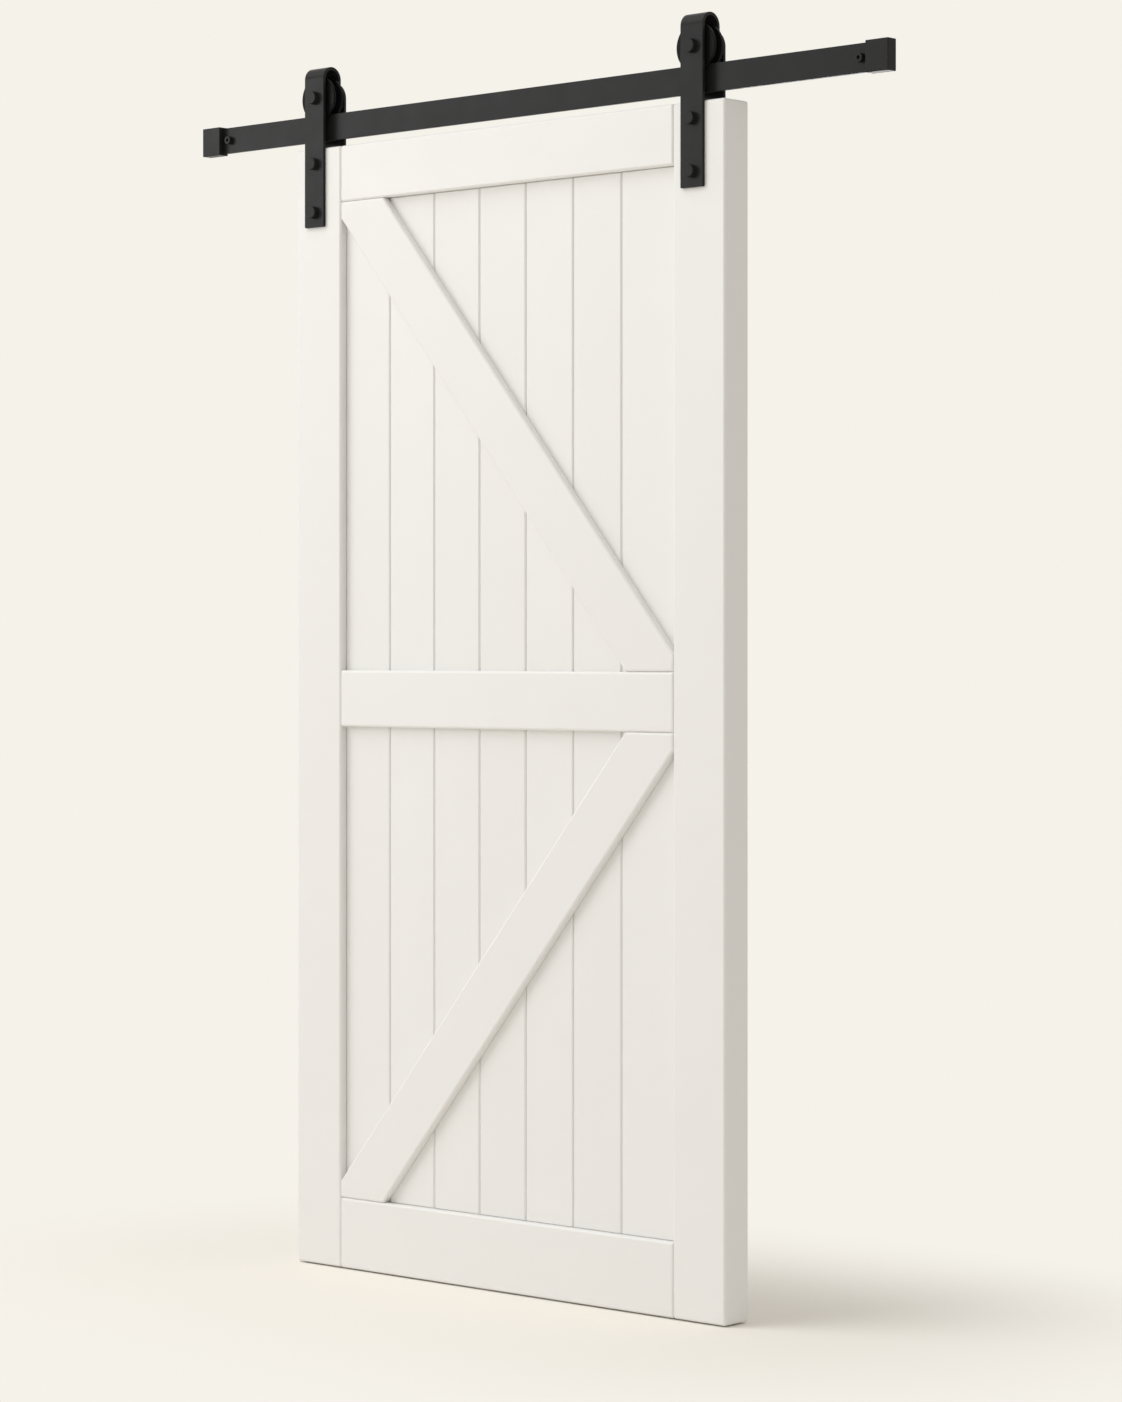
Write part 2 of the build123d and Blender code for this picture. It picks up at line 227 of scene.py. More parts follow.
# %% White paint
PAINT_WARM = (0.824, 0.816, 0.797, 1.0)
PAINT_CLEAR = (0.842, 0.836, 0.819, 1.0)
PAINT_BUMP = 0.05
PAINT_BUMP_DEPTH = 0.0006
TONE_ATTRIBUTE = "piece_tone"


def white_paint(name, turn):
    material, tree, shader = new_material(name)
    link = tree.links.new
    place = add_node(tree, "ShaderNodeTexCoord")
    mapping = add_node(tree, "ShaderNodeMapping")
    mapping.inputs["Rotation"].default_value = (0, turn, 0)
    tone = add_node(tree, "ShaderNodeAttribute", attribute_name=TONE_ATTRIBUTE)
    film = add_node(tree, "ShaderNodeGroup", node_tree=paint_film)
    colour = add_node(tree, "ShaderNodeMix", data_type="RGBA")
    colour.inputs["A"].default_value = PAINT_WARM
    colour.inputs["B"].default_value = PAINT_CLEAR
    bump = add_node(tree, "ShaderNodeBump")
    bump.inputs["Strength"].default_value = PAINT_BUMP
    bump.inputs["Distance"].default_value = PAINT_BUMP_DEPTH
    link(place.outputs["Object"], mapping.inputs["Vector"])
    link(mapping.outputs["Vector"], film.inputs["Along Grain"])
    link(tone.outputs["Fac"], film.inputs["Piece Tone"])
    link(film.outputs["Tint"], colour.inputs["Factor"])
    link(colour.outputs["Result"], shader.inputs["Base Color"])
    link(film.outputs["Roughness"], shader.inputs["Roughness"])
    link(film.outputs["Height"], bump.inputs["Height"])
    link(bump.outputs["Normal"], shader.inputs["Normal"])
    return material


def brace_turn(node):
    """How far a brace leans from upright, from its own box."""
    low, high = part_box(node)
    return math.atan2(high.x - low.x, high.z - low.z)


lean_up = brace_turn("upper_brace_front")
lean_low = brace_turn("lower_brace_front")
paint_upright = white_paint("white paint, upright", 0.0)
paint_level = white_paint("white paint, level", math.radians(90))
paint_upper_brace = white_paint("white paint, upper brace", lean_up)
paint_lower_brace = white_paint("white paint, lower brace", -lean_low)
print("braces lean", round(math.degrees(lean_up), 1), "and", round(math.degrees(lean_low), 1), "degrees")

# %% [markdown]
# Powder coat on steel is matte black with a fine orange peel: the powder melts into tiny rounded
# cells. Two noises give the cells and a slow change of gloss. The coat reflects little, so its
# specular level is set low on the shader itself, and the black stays deep inside the hangers. The
# wheels get a darker coat of the same kind, as the photo shows them blacker than the straps. Part of
# that darkness is painted shade: inside the hanger loop the strap shades the wheels, and the darker
# colour stands in for that shade.

# %% Black powder coat
COAT_DARK = (0.015, 0.0152, 0.0156, 1.0)
COAT_LIGHT = (0.020, 0.0202, 0.0207, 1.0)
# The wheel colours are darker partly as painted shade for the inside of the hanger loop.
WHEEL_DARK = (0.006, 0.006, 0.0062, 1.0)
WHEEL_LIGHT = (0.009, 0.009, 0.0092, 1.0)
COAT_SPECULAR = 0.09
WHEEL_SPECULAR = 0.05
PEEL_SCALE = 900.0
PEEL_BUMP = 0.12
PEEL_DEPTH = 0.0004
PEEL_DETAIL = 2.0
GLOSS_SCALE = 22.0
GLOSS_RANGE = (0.3, 0.7)
COAT_ROUGHNESS = (0.31, 0.37)


def powder_group():
    group, source, result = new_group(
        "powder orange peel",
        "ShaderNodeTree",
        [("Vector", "NodeSocketVector", None), ("Cells", "NodeSocketFloat", PEEL_SCALE)],
        [("Height", "NodeSocketFloat"), ("Roughness", "NodeSocketFloat"), ("Tone", "NodeSocketFloat")],
    )
    link = group.links.new
    peel = add_node(group, "ShaderNodeTexNoise")
    peel.inputs["Detail"].default_value = PEEL_DETAIL
    link(source.outputs["Vector"], peel.inputs["Vector"])
    link(source.outputs["Cells"], peel.inputs["Scale"])
    slow = add_node(group, "ShaderNodeTexNoise")
    slow.inputs["Scale"].default_value = GLOSS_SCALE
    link(source.outputs["Vector"], slow.inputs["Vector"])
    link(peel.outputs["Fac"], result.inputs["Height"])
    link(map_range(group, slow.outputs["Fac"], GLOSS_RANGE, COAT_ROUGHNESS), result.inputs["Roughness"])
    link(slow.outputs["Fac"], result.inputs["Tone"])
    return group


def black_coat(name, dark, light, specular):
    material, tree, shader = new_material(name)
    link = tree.links.new
    shader.inputs["Specular IOR Level"].default_value = specular
    place = add_node(tree, "ShaderNodeTexCoord")
    powder = add_node(tree, "ShaderNodeGroup", node_tree=powder_peel)
    colour = add_node(tree, "ShaderNodeMix", data_type="RGBA")
    colour.inputs["A"].default_value = dark
    colour.inputs["B"].default_value = light
    bump = add_node(tree, "ShaderNodeBump")
    bump.inputs["Strength"].default_value = PEEL_BUMP
    bump.inputs["Distance"].default_value = PEEL_DEPTH
    link(place.outputs["Object"], powder.inputs["Vector"])
    link(powder.outputs["Tone"], colour.inputs["Factor"])
    link(colour.outputs["Result"], shader.inputs["Base Color"])
    link(powder.outputs["Roughness"], shader.inputs["Roughness"])
    link(powder.outputs["Height"], bump.inputs["Height"])
    link(bump.outputs["Normal"], shader.inputs["Normal"])
    return material


powder_peel = powder_group()
powder_coat = black_coat("black powder coat", COAT_DARK, COAT_LIGHT, COAT_SPECULAR)
# The wheel coat's darker colour is partly painted shade for the inside of the hanger loop.
wheel_coat_and_loop_shade = black_coat("black wheel coat with painted loop shade", WHEEL_DARK, WHEEL_LIGHT, WHEEL_SPECULAR)
print("materials:", powder_coat.name, "and", wheel_coat_and_loop_shade.name)

# %% [markdown]
# A piece with modifiers is turned into a plain mesh before it joins the door. Weighted Normal comes
# last among them: it lets each large flat face set the shading of its corners, so that a flat strap
# looks flat and only its rounded arris shades from one face into the next.


# %% Finish a piece
def plain_mesh(piece):
    """Applies a piece's modifiers and leaves one plain mesh."""
    graph = bpy.context.evaluated_depsgraph_get()
    mesh = bpy.data.meshes.new_from_object(
        piece.evaluated_get(graph), preserve_all_data_layers=True, depsgraph=graph
    )
    mesh.name = piece.name
    piece.modifiers.clear()
    piece.data = mesh


def finish_piece(piece, body, replaced):
    """Evens the normals, bakes the modifiers, hangs the piece on its body and hides the solids that it
    stands for.
    """
    even = piece.modifiers.new("flat faces stay flat", "WEIGHTED_NORMAL")
    even.keep_sharp = True
    plain_mesh(piece)
    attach(piece, body)
    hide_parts(*replaced)


def new_piece(name, mesh):
    piece = bpy.data.objects.new(name, mesh)
    scene.collection.objects.link(piece)
    return piece


print("finishing helpers ready")

# %% [markdown]
# A solid's mesh has knife edges and loose triangles. A planed and painted board has soft arrises that
# catch the light, so each piece is dressed as a merged copy with a small Bevel, and the copy stands
# for the solid. Flat faces are joined first, so that the bevel runs along whole edges. A bevel tears a
# flat face that has a hole in it, so a hole that another piece fills, such as a bolt's, is closed first.

# %% Dress a solid
MERGE_DISTANCE = 0.01 * MM
FLAT_ANGLE = math.radians(0.5)
ARRIS_ANGLE = math.radians(30)
ARRIS_SEGMENTS = 3
FILLER_REACH = 1.0 * MM


def close_holes(shape, filled_by):
    """Removes the walls of the holes that those pieces fill, and closes the mouths."""
    reach = Vector((FILLER_REACH, FILLER_REACH, FILLER_REACH))
    walls = set()
    for filler in filled_by:
        low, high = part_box(filler)
        low, high = low - reach, high + reach
        for face in shape.faces:
            corners = [vert.co for vert in face.verts]
            if all(low[axis] < corner[axis] < high[axis] for corner in corners for axis in range(3)):
                walls.add(face)
    bmesh.ops.delete(shape, geom=list(walls), context="FACES")
    bmesh.ops.holes_fill(shape, edges=[edge for edge in shape.edges if edge.is_boundary], sides=0)


def merged_copy(node, filled_by):
    """A copy of a solid's mesh with its flat faces whole and its arrises marked for the bevel."""
    shape = bmesh.new()
    shape.from_mesh(nodes[node].data)
    bmesh.ops.remove_doubles(shape, verts=shape.verts, dist=MERGE_DISTANCE)
    close_holes(shape, filled_by)
    bmesh.ops.dissolve_limit(shape, angle_limit=FLAT_ANGLE, verts=shape.verts, edges=shape.edges)
    weight = shape.edges.layers.float.new("bevel_weight_edge")
    for edge in shape.edges:
        edge[weight] = 1.0 if edge.calc_face_angle(0.0) > ARRIS_ANGLE else 0.0
    mesh = bpy.data.meshes.new(node + "_dressed")
    for face in shape.faces:
        face.smooth = True
    shape.to_mesh(mesh)
    shape.free()
    return mesh


def dressed(node, arris, material, filled_by=(), tone=0.5):
    """A merged copy of a solid with rounded arrises, riding on the solid's own body."""
    mesh = merged_copy(node, filled_by)
    values = mesh.attributes.new(TONE_ATTRIBUTE, "FLOAT", "POINT")
    values.data.foreach_set("value", [tone] * len(mesh.vertices))
    mesh.materials.append(material)
    piece = new_piece(node + "_dressed", mesh)
    bevel = piece.modifiers.new("soft arris", "BEVEL")
    bevel.width = arris
    bevel.segments = ARRIS_SEGMENTS
    bevel.limit_method = "WEIGHT"
    finish_piece(piece, nodes[node]["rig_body"], [node])


print("arrises are rounded in", ARRIS_SEGMENTS, "steps")

# %% [markdown]
# The timbers are sorted by the way that they lie, so that each gets the paint whose grain runs along
# it. Boards have smaller arrises than the frame, because their joints are fine. Steps of the golden
# ratio spread the piece tones, so that no two neighbours share one.

# %% Dress the timbers
TIMBER_ARRIS = 2.0 * MM
BOARD_ARRIS = 1.0 * MM
TONE_STEP = 0.618

bolt_nodes = [n for n in nodes if n.endswith("_bolt")]
board_nodes = sorted(n for n in nodes if n.startswith("board_"))
timbers = {
    paint_upright: ["left_stile", "right_stile"] + board_nodes,
    paint_level: ["top_rail", "bottom_rail", "middle_rail_front", "middle_rail_back"],
    paint_upper_brace: ["upper_brace_front", "upper_brace_back"],
    paint_lower_brace: ["lower_brace_front", "lower_brace_back"],
}
count = 0
for paint, names in timbers.items():
    for name in names:
        arris = BOARD_ARRIS if name in board_nodes else TIMBER_ARRIS
        filled_by = bolt_nodes + board_nodes if name.endswith("_stile") else []
        dressed(name, arris, paint, filled_by, tone=(count * TONE_STEP) % 1.0)
        count += 1
print(count, "timbers dressed")

# %% [markdown]
# Sheared and bent steel bar keeps sharper arrises than wood, and its coat only softens them. An end
# stop's pocket is filled by the rail, and all other holes in the steel are filled by bolts.

# %% Dress the steel
STEEL_ARRIS = 0.6 * MM

steel = [n for n in nodes if n.endswith(("_strap", "_back_plate", "_end_stop", "track_rail"))]
for name in steel:
    filled_by = ["track_rail"] if name.endswith("_end_stop") else bolt_nodes
    dressed(name, STEEL_ARRIS, powder_coat, filled_by)
print(len(steel), "steel pieces dressed:", ", ".join(steel))

# %% [markdown]
# The wheels are turned on a lathe, and Blender's Spin does the same: a half outline is swept about
# the axle. The outline is a list of radius and depth pairs on one side of the wheel's middle, and its
# mirror image closes it. The rim's corners are small arcs, so that the light draws a line along them.
# The spacers behind the rail are turned in the same way, with a hole for the bolt and one for the stud.

# %% Turned wheels
LATHE_SEGMENTS = 96
LATHE_SHARP_ANGLE = math.radians(40)
WHEEL_HALF_WIDTH = 13.0 * MM
TREAD_RADIUS = 31.0 * MM
TREAD_HALF_WIDTH = 6.0 * MM
RIM_WIDTH = 5.0 * MM
RIM_ROUND = 1.0 * MM
ROUND_STEPS = 4
HUB_RADIUS = 14.0 * MM
BORE_RADIUS = 6.05 * MM


def corner_arc(radius, depth, reach, turn_from, turn_to):
    """Points of a small arc; radius and depth are its centre, and turns are in degrees."""
    points = []
    for step in range(ROUND_STEPS + 1):
        angle = math.radians(turn_from + (turn_to - turn_from) * step / ROUND_STEPS)
        points.append((radius + reach * math.cos(angle), depth + reach * math.sin(angle)))
    return points


def wheel_outline(radius, hub_half):
    """The wheel's closed section: half of it from the tread round to the bore, with its mirror image."""
    rim_in = WHEEL_HALF_WIDTH - RIM_ROUND - RIM_WIDTH
    half = [(TREAD_RADIUS, TREAD_HALF_WIDTH)]
    half += corner_arc(radius - RIM_ROUND, rim_in + RIM_ROUND, RIM_ROUND, -90, 0)
    half += corner_arc(radius - RIM_ROUND, WHEEL_HALF_WIDTH - RIM_ROUND, RIM_ROUND, 0, 90)
    half += [(HUB_RADIUS, WHEEL_HALF_WIDTH), (HUB_RADIUS, hub_half), (BORE_RADIUS, hub_half)]
    return [(r, -y) for r, y in reversed(half)] + half


def turned_mesh(name, outline, centre, coat):
    """Sweeps a closed outline of (radius, depth) pairs about the Y axis through centre."""
    shape = bmesh.new()
    ring = [shape.verts.new(centre + Vector((radius, depth, 0))) for radius, depth in outline]
    for first, second in zip(ring, ring[1:] + ring[:1]):
        shape.edges.new((first, second))
    bmesh.ops.spin(
        shape,
        geom=shape.verts[:] + shape.edges[:],
        cent=centre,
        axis=(0, 1, 0),
        angle=2 * math.pi,
        steps=LATHE_SEGMENTS,
        use_merge=True,
    )
    bmesh.ops.remove_doubles(shape, verts=shape.verts, dist=MERGE_DISTANCE)
    bmesh.ops.recalc_face_normals(shape, faces=shape.faces)
    mesh = bpy.data.meshes.new(name)
    shape.to_mesh(mesh)
    shape.free()
    mesh.shade_smooth()
    mesh.set_sharp_from_angle(angle=LATHE_SHARP_ANGLE)
    mesh.materials.append(coat)
    return mesh


for side in ("left", "right"):
    node = f"{side}_wheel"
    low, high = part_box(node)
    radius = (high.z - low.z) / 2
    outline = wheel_outline(radius, (high.y - low.y) / 2)
    mesh = turned_mesh(f"{node}_turned", outline, (low + high) / 2, wheel_coat_and_loop_shade)
    finish_piece(new_piece(f"{node}_turned", mesh), node, [node])
    print(node, "turned, rim radius", round(radius / MM, 1), "mm")

# %% Turned spacers
SPACER_ROUND = 1.0 * MM
BOLT_HOLE_RADIUS = 4.2 * MM
BOLT_HOLE_DEPTH = 16.5 * MM
STUD_HOLE_RADIUS = 5.0 * MM
STUD_HOLE_DEPTH = 25.0 * MM

for side in ("left", "right"):
    node = f"{side}_wall_spacer"
    low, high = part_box(node)
    radius = (high.z - low.z) / 2
    half = (high.y - low.y) / 2
    bolt_end = BOLT_HOLE_DEPTH - half
    stud_end = half - STUD_HOLE_DEPTH
    outline = [(0.0, bolt_end), (BOLT_HOLE_RADIUS, bolt_end), (BOLT_HOLE_RADIUS, -half)]
    outline += corner_arc(radius - SPACER_ROUND, SPACER_ROUND - half, SPACER_ROUND, -90, 0)
    outline += corner_arc(radius - SPACER_ROUND, half - SPACER_ROUND, SPACER_ROUND, 0, 90)
    outline += [(STUD_HOLE_RADIUS, half), (STUD_HOLE_RADIUS, stud_end), (0.0, stud_end)]
    mesh = turned_mesh(f"{node}_turned", outline, (low + high) / 2, powder_coat)
    finish_piece(new_piece(f"{node}_turned", mesh), nodes[node]["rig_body"], [node])
    print(node, "turned,", round(2 * half / MM, 1), "mm long")

# %% [markdown]
# Bolts repeat, so one Geometry Nodes tree makes them all. Its input is a mesh of bare points, one on
# each seat. A round face is drawn out ring by ring, as a rod is upset in a heading machine: the shank,
# the underside of the head, its wall and its rounded edge. Optional steps cut a hex socket into the
# head and put a hex nut on the shank. The bolts are turned to the front and set on the points, the
# instances are made real, and the coat goes on last.

# %% Steps of a heading machine
BOLT_SIDES = 64
HEX_SIDES = 6


def maths(tree, operation, *terms):
    """A Math node on sockets or plain numbers."""
    node = add_node(tree, "ShaderNodeMath", operation=operation)
    for socket, term in zip(node.inputs, terms):
        plug(tree, term, socket)
    return node.outputs[0]


def lifted(tree, mesh, height):
    """Moves a mesh along its own axis."""
    place = add_node(tree, "ShaderNodeCombineXYZ")
    move = add_node(tree, "GeometryNodeTransform")
    tree.links.new(height, place.inputs["Z"])
    tree.links.new(mesh, move.inputs["Geometry"])
    tree.links.new(place.outputs[0], move.inputs["Translation"])
    return move.outputs[0]


def disc(tree, sides, radius):
    """A filled ring that faces up."""
    circle = add_node(tree, "GeometryNodeMeshCircle", fill_type="NGON")
    circle.inputs["Vertices"].default_value = sides
    tree.links.new(radius, circle.inputs["Radius"])
    return circle.outputs[0]


def drawn(tree, mesh, top, height, ratio=None):
    """Draws the top face out by height and scales it by ratio."""
    extrude = add_node(tree, "GeometryNodeExtrudeMesh", mode="FACES")
    extrude.inputs["Individual"].default_value = False
    tree.links.new(mesh, extrude.inputs["Mesh"])
    if top is not None:
        tree.links.new(top, extrude.inputs["Selection"])
    plug(tree, height, extrude.inputs["Offset Scale"])
    mesh, top = extrude.outputs["Mesh"], extrude.outputs["Top"]
    if ratio is not None:
        scale = add_node(tree, "GeometryNodeScaleElements", domain="FACE")
        tree.links.new(mesh, scale.inputs["Geometry"])
        tree.links.new(top, scale.inputs["Selection"])
        tree.links.new(ratio, scale.inputs["Scale"])
        mesh = scale.outputs[0]
    return mesh, top


def closed(tree, drawn_mesh, base):
    """Adds the base, turned to face down, and welds it on."""
    flip = add_node(tree, "GeometryNodeFlipFaces")
    join = add_node(tree, "GeometryNodeJoinGeometry")
    weld = add_node(tree, "GeometryNodeMergeByDistance")
    weld.inputs["Distance"].default_value = MERGE_DISTANCE
    tree.links.new(base, flip.inputs["Mesh"])
    tree.links.new(drawn_mesh, join.inputs[0])
    tree.links.new(flip.outputs[0], join.inputs[0])
    tree.links.new(join.outputs[0], weld.inputs["Geometry"])
    return weld.outputs[0]


def hex_rod(tree, width, height):
    """A closed hexagonal rod of that width across its flats."""
    base = disc(tree, HEX_SIDES, maths(tree, "DIVIDE", width, math.sqrt(3)))
    return closed(tree, drawn(tree, base, None, height)[0], base)


def boolean(tree, operation, first, second):
    node = add_node(tree, "GeometryNodeMeshBoolean", operation=operation)
    first_socket = "Mesh 1" if operation == "DIFFERENCE" else "Mesh 2"
    tree.links.new(first, node.inputs[first_socket])
    tree.links.new(second, node.inputs["Mesh 2"])
    return node.outputs["Mesh"]


def only_if(tree, size_socket, plain, changed):
    """The changed mesh where that size is more than nothing, or else the plain one."""
    test = add_node(tree, "FunctionNodeCompare", operation="GREATER_THAN")
    switch = add_node(tree, "GeometryNodeSwitch", input_type="GEOMETRY")
    tree.links.new(size_socket, test.inputs[0])
    tree.links.new(test.outputs[0], switch.inputs["Switch"])
    tree.links.new(plain, switch.inputs["False"])
    tree.links.new(changed, switch.inputs["True"])
    return switch.outputs[0]


print("heading steps ready")

# %% Bolt tree
EDGE_TURNS = (0, 30, 60, 90)
NUT_SETBACK = 0.5 * MM
OVERLAP = 1.0 * MM
BOLT_INPUTS = [
    ("Seats", "NodeSocketGeometry", None),
    ("Head Radius", "NodeSocketFloat", 0.01),
    ("Head Height", "NodeSocketFloat", 0.01),
    ("Edge Round", "NodeSocketFloat", 0.001),
    ("Shank Radius", "NodeSocketFloat", 0.005),
    ("Shank Length", "NodeSocketFloat", 0.05),
    ("Socket Width", "NodeSocketFloat", 0.0),
    ("Socket Depth", "NodeSocketFloat", 0.0),
    ("Nut Width", "NodeSocketFloat", 0.0),
    ("Nut Height", "NodeSocketFloat", 0.0),
    ("Seed", "NodeSocketInt", 0),
    ("Coat", "NodeSocketMaterial", None),
]


def headed_rod(tree, size, tail):
    """A shank below its seat and a round head with a rounded edge above it."""
    base = lifted(tree, disc(tree, BOLT_SIDES, size["Shank Radius"]), tail)
    bolt, top = drawn(tree, base, None, size["Shank Length"])
    bolt, top = drawn(tree, bolt, top, 0.0, maths(tree, "DIVIDE", size["Head Radius"], size["Shank Radius"]))
    bolt, top = drawn(tree, bolt, top, maths(tree, "SUBTRACT", size["Head Height"], size["Edge Round"]))
    before = size["Head Radius"]
    for low_turn, high_turn in zip(EDGE_TURNS, EDGE_TURNS[1:]):
        low_turn, high_turn = math.radians(low_turn), math.radians(high_turn)
        rise = maths(tree, "MULTIPLY", size["Edge Round"], math.sin(high_turn) - math.sin(low_turn))
        inset = maths(tree, "MULTIPLY", size["Edge Round"], 1 - math.cos(high_turn))
        after = maths(tree, "SUBTRACT", size["Head Radius"], inset)
        bolt, top = drawn(tree, bolt, top, rise, maths(tree, "DIVIDE", after, before))
        before = after
    return closed(tree, bolt, base)


def with_socket(tree, bolt, size):
    """Cuts a hex socket into the head, where its width is more than nothing."""
    cutter = hex_rod(tree, size["Socket Width"], maths(tree, "ADD", size["Socket Depth"], OVERLAP))
    floor_height = maths(tree, "SUBTRACT", size["Head Height"], size["Socket Depth"])
    cut = boolean(tree, "DIFFERENCE", bolt, lifted(tree, cutter, floor_height))
    return only_if(tree, size["Socket Width"], bolt, cut)


def with_nut(tree, bolt, size, tail):
    """Puts a hex nut on the shank's end, set back a little, where its width is more than nothing."""
    nut = hex_rod(tree, size["Nut Width"], maths(tree, "SUBTRACT", size["Nut Height"], NUT_SETBACK))
    nut = lifted(tree, nut, maths(tree, "ADD", tail, NUT_SETBACK))
    return only_if(tree, size["Nut Width"], bolt, boolean(tree, "UNION", bolt, nut))


def facing_front(tree, seed):
    """A turn to the front, with a chance turn of each bolt about its own axis."""
    facing = add_node(tree, "ShaderNodeCombineXYZ")
    facing.inputs["X"].default_value = math.radians(90)
    facing_turn = add_node(tree, "FunctionNodeEulerToRotation")
    chance = add_node(tree, "FunctionNodeRandomValue", data_type="FLOAT")
    chance.inputs["Max"].default_value = math.pi
    own = add_node(tree, "ShaderNodeCombineXYZ")
    own_turn = add_node(tree, "FunctionNodeEulerToRotation")
    both = add_node(tree, "FunctionNodeRotateRotation", rotation_space="LOCAL")
    tree.links.new(facing.outputs[0], facing_turn.inputs[0])
    tree.links.new(seed, chance.inputs["Seed"])
    tree.links.new(next(out for out in chance.outputs if out.enabled), own.inputs["Z"])
    tree.links.new(own.outputs[0], own_turn.inputs[0])
    tree.links.new(facing_turn.outputs[0], both.inputs[0])
    tree.links.new(own_turn.outputs[0], both.inputs[1])
    return both.outputs[0]


def bolt_tree():
    tree, source, result = new_group(
        "bolts on seats", "GeometryNodeTree", BOLT_INPUTS, [("Bolts", "NodeSocketGeometry")]
    )
    size = source.outputs
    tail = maths(tree, "MULTIPLY", size["Shank Length"], -1.0)
    bolt = with_socket(tree, headed_rod(tree, size, tail), size)
    bolt = with_nut(tree, bolt, size, tail)
    place = add_node(tree, "GeometryNodeInstanceOnPoints")
    real = add_node(tree, "GeometryNodeRealizeInstances")
    coat = add_node(tree, "GeometryNodeSetMaterial")
    tree.links.new(size["Seats"], place.inputs["Points"])
    tree.links.new(bolt, place.inputs["Instance"])
    tree.links.new(facing_front(tree, size["Seed"]), place.inputs["Rotation"])
    tree.links.new(place.outputs[0], real.inputs[0])
    tree.links.new(real.outputs[0], coat.inputs["Geometry"])
    tree.links.new(size["Coat"], coat.inputs["Material"])
    tree.links.new(coat.outputs[0], result.inputs["Bolts"])
    return tree


bolts_on_seats = bolt_tree()
print("tree:", bolts_on_seats.name, "with", len(bolts_on_seats.nodes), "nodes")

# %% [markdown]
# Each kind of bolt takes its outer sizes from the solids that it stands for. The seat is the front of
# the piece under the head, the head's radius and height come from the bolt's own box, and so does the
# length of its shank. What a box can't tell, such as the shank's radius or the nut, is stated here.

# %% Set the bolts
SHARP_ANGLE = math.radians(38)
STRAP_BOLT = {"Shank Radius": 5.0 * MM, "Edge Round": 1.5 * MM, "Seed": 3}
AXLE_BOLT = {
    "Shank Radius": 6.0 * MM,
    "Edge Round": 1.5 * MM,
    "Seed": 5,
    "Nut Width": 19.0 * MM,
    "Nut Height": 10.0 * MM,
}
RAIL_BOLT = {
    "Shank Radius": 4.0 * MM,
    "Edge Round": 1.0 * MM,
    "Seed": 8,
    "Socket Width": 6.5 * MM,
    "Socket Depth": 4.0 * MM,
}


def set_bolts(name, body, seat_node, replaced, stated):
    """One plain mesh of bolts on a body, seated on the front of seat_node."""
    seat_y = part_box(seat_node)[0].y
    boxes = [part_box(node) for node in replaced]
    low, high = boxes[0]
    seats = [((a.x + b.x) / 2, seat_y, (a.z + b.z) / 2) for a, b in boxes]
    mesh = bpy.data.meshes.new(name + "_seats")
    mesh.from_pydata(seats, [], [])
    piece = new_piece(name, mesh)
    values = {
        "Head Radius": (high.z - low.z) / 2,
        "Head Height": seat_y - low.y,
        "Shank Length": high.y - seat_y,
        "Coat": powder_coat,
        **stated,
    }
    modifier = piece.modifiers.new("bolts", "NODES")
    modifier.node_group = bolts_on_seats
    for item in bolts_on_seats.interface.items_tree:
        if item.in_out == "INPUT" and item.name in values:
            modifier[item.identifier] = values[item.name]
    plain_mesh(piece)
    piece.data.shade_smooth()
    piece.data.set_sharp_from_angle(angle=SHARP_ANGLE)
    finish_piece(piece, body, replaced)
    print(name, "on", body, "with", len(piece.data.polygons), "faces")


strap_bolt_nodes = [n for n in bolt_nodes if n.endswith("_strap_bolt")]
axle_bolt_nodes = [n for n in bolt_nodes if n.endswith("_axle_bolt")]
rail_bolt_nodes = [n for n in bolt_nodes if n.endswith("_rail_bolt")]
set_bolts("strap_bolts", "door", "left_hanger_strap", strap_bolt_nodes, STRAP_BOLT)
set_bolts("axle_bolts", "door", "left_hanger_strap", axle_bolt_nodes, AXLE_BOLT)
set_bolts("rail_bolts", "track", "track_rail", rail_bolt_nodes, RAIL_BOLT)

# %% [markdown]
# The studio is a pale floor that fades into a plain ground of the same colour, so no horizon shows.
# Near the door the floor is lit like any surface and takes its shadow. Further off, and only for the
# rays that see it, it turns into the flat colour of the ground.

# %% Floor and ground
FLOOR_GAP = 2.5 * MM
FLOOR_REACH = 60.0
FLOOR_ROUGHNESS = 0.9
GROUND_COLOUR = (0.913, 0.888, 0.823, 1.0)
FLOOR_COLOUR = (0.915, 0.879, 0.815, 1.0)
FADE_RANGE = (0.05, 0.98)
floor_z = leaf_low.z - FLOOR_GAP


def seen_ray(tree):
    """1 for rays that show the ground: from the camera, in a reflection or through glass."""
    path = add_node(tree, "ShaderNodeLightPath")
    first = add_node(tree, "ShaderNodeMath", operation="MAXIMUM")
    second = add_node(tree, "ShaderNodeMath", operation="MAXIMUM")
    tree.links.new(path.outputs["Is Camera Ray"], first.inputs[0])
    tree.links.new(path.outputs["Is Glossy Ray"], first.inputs[1])
    tree.links.new(first.outputs[0], second.inputs[0])
    tree.links.new(path.outputs["Is Transmission Ray"], second.inputs[1])
    return second.outputs[0]


